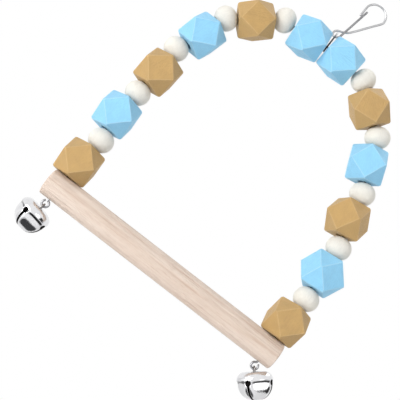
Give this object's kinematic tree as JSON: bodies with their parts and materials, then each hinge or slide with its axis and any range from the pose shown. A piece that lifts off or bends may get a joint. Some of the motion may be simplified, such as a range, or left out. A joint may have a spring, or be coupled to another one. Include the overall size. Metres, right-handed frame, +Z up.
{
  "type": "bird swing",
  "caption": "Hanging bird swing: wooden perch under a wire arch threaded with faceted and round beads, with a spring clip on top and jingle bells below.",
  "frame": {"origin": "inside top of the spring clip's bow, where it rests on a cage bar", "axes": "+X along the perch to the viewer's right, +Y away from the viewer, +Z up"},
  "size_m": [0.1629, 0.0267, 0.2234],
  "materials": {
    "spring_wire": "polished nickel-plated spring wire",
    "ring_wire": "polished nickel-plated wire",
    "arch_wire": "drawn steel wire",
    "perch_wood": "bare fine-sanded pale hardwood",
    "tan_wood": "matt tan stain over wood",
    "blue_wood": "matt light blue paint over wood",
    "white_wood": "matt warm white paint over wood",
    "bell_nickel": "bright nickel plate",
    "ball_steel": "plain steel ball"
  },
  "bodies": {
    "clip": {"clip_body": "spring_wire"},
    "clip_gate": {"clip_gate": "spring_wire"},
    "link_ring": {"link_ring": "ring_wire"},
    "swing": {"arch_wire": "arch_wire", "perch": "perch_wood"},
    "bell_left": {"bell_left_shell": "bell_nickel", "bell_left_eye": "bell_nickel"},
    "clapper_left": {"bell_left_clapper": "ball_steel"},
    "bell_right": {"bell_right_shell": "bell_nickel", "bell_right_eye": "bell_nickel"},
    "clapper_right": {"bell_right_clapper": "ball_steel"},
    "facet_bead_left_1": {"facet_bead_left_1": "tan_wood"},
    "round_bead_left_1": {"round_bead_left_1": "white_wood"},
    "facet_bead_left_2": {"facet_bead_left_2": "blue_wood"},
    "round_bead_left_2": {"round_bead_left_2": "white_wood"},
    "facet_bead_left_3": {"facet_bead_left_3": "tan_wood"},
    "round_bead_left_3": {"round_bead_left_3": "white_wood"},
    "facet_bead_left_4": {"facet_bead_left_4": "blue_wood"},
    "round_bead_left_4": {"round_bead_left_4": "white_wood"},
    "facet_bead_left_5": {"facet_bead_left_5": "tan_wood"},
    "round_bead_left_5": {"round_bead_left_5": "white_wood"},
    "facet_bead_left_6": {"facet_bead_left_6": "blue_wood"},
    "facet_bead_right_1": {"facet_bead_right_1": "tan_wood"},
    "round_bead_right_1": {"round_bead_right_1": "white_wood"},
    "facet_bead_right_2": {"facet_bead_right_2": "blue_wood"},
    "round_bead_right_2": {"round_bead_right_2": "white_wood"},
    "facet_bead_right_3": {"facet_bead_right_3": "tan_wood"},
    "round_bead_right_3": {"round_bead_right_3": "white_wood"},
    "facet_bead_right_4": {"facet_bead_right_4": "blue_wood"},
    "round_bead_right_4": {"round_bead_right_4": "white_wood"},
    "facet_bead_right_5": {"facet_bead_right_5": "tan_wood"},
    "round_bead_right_5": {"round_bead_right_5": "white_wood"},
    "facet_bead_right_6": {"facet_bead_right_6": "blue_wood"}
  },
  "joints": [
    {"name": "gate_pivot", "type": "hinge", "parent": "clip", "child": "clip_gate", "pos_m": [-0.00832, -0.0015, -0.02929], "axis": [0, 1, 0], "range_deg": [0, 18], "stiffness_Nm_per_rad": 0.1, "springref_deg": -2.86},
    {"name": "ring_tilt", "type": "hinge", "parent": "clip", "child": "link_ring", "pos_m": [-0.01067, -0.00049, -0.03022], "axis": [0, 1, 0], "range_deg": [-10, 60]},
    {"name": "swing_pivot", "type": "hinge", "parent": "link_ring", "child": "swing", "pos_m": [-0.01061, -0.00526, -0.04094], "axis": [1, 0, 0.0051], "range_deg": [-30, 30]},
    {"name": "bell_left_swing", "type": "hinge", "parent": "swing", "child": "bell_left", "pos_m": [-0.07648, -0.00526, -0.20491], "axis": [0, -1, 0], "range_deg": [-24, 48]},
    {"name": "clapper_left_slide", "type": "slide", "parent": "bell_left", "child": "clapper_left", "axis": [0.2059, -0.1392, 0.9686], "range_m": [0, 0.005]},
    {"name": "bell_right_swing", "type": "hinge", "parent": "swing", "child": "bell_right", "pos_m": [0.06052, -0.00526, -0.20491], "axis": [0, 1, 0], "range_deg": [-4, 76]},
    {"name": "clapper_right_slide", "type": "slide", "parent": "bell_right", "child": "clapper_right", "axis": [-0.6428, 0, 0.766], "range_m": [0, 0.005]},
    {"name": "facet_bead_left_1_spin", "type": "hinge", "parent": "swing", "child": "facet_bead_left_1", "pos_m": [-0.07648, -0.00526, -0.17646], "axis": [0, 0, 1], "continuous": true},
    {"name": "round_bead_left_1_spin", "type": "hinge", "parent": "swing", "child": "round_bead_left_1", "pos_m": [-0.07473, -0.00526, -0.16016], "axis": [0, 0, 1], "continuous": true},
    {"name": "facet_bead_left_2_spin", "type": "hinge", "parent": "swing", "child": "facet_bead_left_2", "pos_m": [-0.07685, -0.00526, -0.14386], "axis": [0, 0, 1], "continuous": true},
    {"name": "round_bead_left_2_spin", "type": "hinge", "parent": "swing", "child": "round_bead_left_2", "pos_m": [-0.07559, -0.00526, -0.12757], "axis": [0.0103, 0, 0.9999], "continuous": true},
    {"name": "facet_bead_left_3_spin", "type": "hinge", "parent": "swing", "child": "facet_bead_left_3", "pos_m": [-0.07413, -0.00526, -0.11143], "axis": [0.0959, 0, 0.9954], "continuous": true},
    {"name": "round_bead_left_3_spin", "type": "hinge", "parent": "swing", "child": "round_bead_left_3", "pos_m": [-0.07459, -0.00526, -0.09492], "axis": [0.1809, 0, 0.9835], "continuous": true},
    {"name": "facet_bead_left_4_spin", "type": "hinge", "parent": "swing", "child": "facet_bead_left_4", "pos_m": [-0.0681, -0.00526, -0.07973], "axis": [0.2794, 0, 0.9602], "continuous": true},
    {"name": "round_bead_left_4_spin", "type": "hinge", "parent": "swing", "child": "round_bead_left_4", "pos_m": [-0.06396, -0.00526, -0.06378], "axis": [0.5619, 0, 0.8272], "continuous": true},
    {"name": "facet_bead_left_5_spin", "type": "hinge", "parent": "swing", "child": "facet_bead_left_5", "pos_m": [-0.05055, -0.00526, -0.0542], "axis": [0.7896, 0, 0.6136], "continuous": true},
    {"name": "round_bead_left_5_spin", "type": "hinge", "parent": "swing", "child": "round_bead_left_5", "pos_m": [-0.03795, -0.00526, -0.04357], "axis": [0.9404, 0, 0.3402], "continuous": true},
    {"name": "facet_bead_left_6_spin", "type": "hinge", "parent": "swing", "child": "facet_bead_left_6", "pos_m": [-0.0214, -0.00526, -0.0432], "axis": [0.9958, 0, 0.0914], "continuous": true},
    {"name": "facet_bead_right_1_spin", "type": "hinge", "parent": "swing", "child": "facet_bead_right_1", "pos_m": [0.06052, -0.00526, -0.17646], "axis": [0, 0, 1], "continuous": true},
    {"name": "round_bead_right_1_spin", "type": "hinge", "parent": "swing", "child": "round_bead_right_1", "pos_m": [0.06194, -0.00526, -0.16016], "axis": [0, 0, 1], "continuous": true},
    {"name": "facet_bead_right_2_spin", "type": "hinge", "parent": "swing", "child": "facet_bead_right_2", "pos_m": [0.06098, -0.00526, -0.14384], "axis": [-0.0319, 0, 0.9995], "continuous": true},
    {"name": "round_bead_right_2_spin", "type": "hinge", "parent": "swing", "child": "round_bead_right_2", "pos_m": [0.05991, -0.00526, -0.12753], "axis": [-0.1174, 0, 0.9931], "continuous": true},
    {"name": "facet_bead_right_3_spin", "type": "hinge", "parent": "swing", "child": "facet_bead_right_3", "pos_m": [0.05479, -0.00526, -0.1119], "axis": [-0.2021, 0, 0.9794], "continuous": true},
    {"name": "round_bead_right_3_spin", "type": "hinge", "parent": "swing", "child": "round_bead_right_3", "pos_m": [0.05317, -0.00526, -0.09556], "axis": [-0.2852, 0, 0.9585], "continuous": true},
    {"name": "facet_bead_right_4_spin", "type": "hinge", "parent": "swing", "child": "facet_bead_right_4", "pos_m": [0.04577, -0.00526, -0.08093], "axis": [-0.3663, 0, 0.9305], "continuous": true},
    {"name": "round_bead_right_4_spin", "type": "hinge", "parent": "swing", "child": "round_bead_right_4", "pos_m": [0.04166, -0.00526, -0.06481], "axis": [-0.5218, 0, 0.853], "continuous": true},
    {"name": "facet_bead_right_5_spin", "type": "hinge", "parent": "swing", "child": "facet_bead_right_5", "pos_m": [0.02872, -0.00526, -0.0546], "axis": [-0.7595, 0, 0.6506], "continuous": true},
    {"name": "round_bead_right_5_spin", "type": "hinge", "parent": "swing", "child": "round_bead_right_5", "pos_m": [0.01665, -0.00526, -0.04338], "axis": [-0.9231, 0, 0.3847], "continuous": true},
    {"name": "facet_bead_right_6_spin", "type": "hinge", "parent": "swing", "child": "facet_bead_right_6", "pos_m": [0.00021, -0.00526, -0.04234], "axis": [-0.9967, 0, 0.0813], "continuous": true}
  ]
}
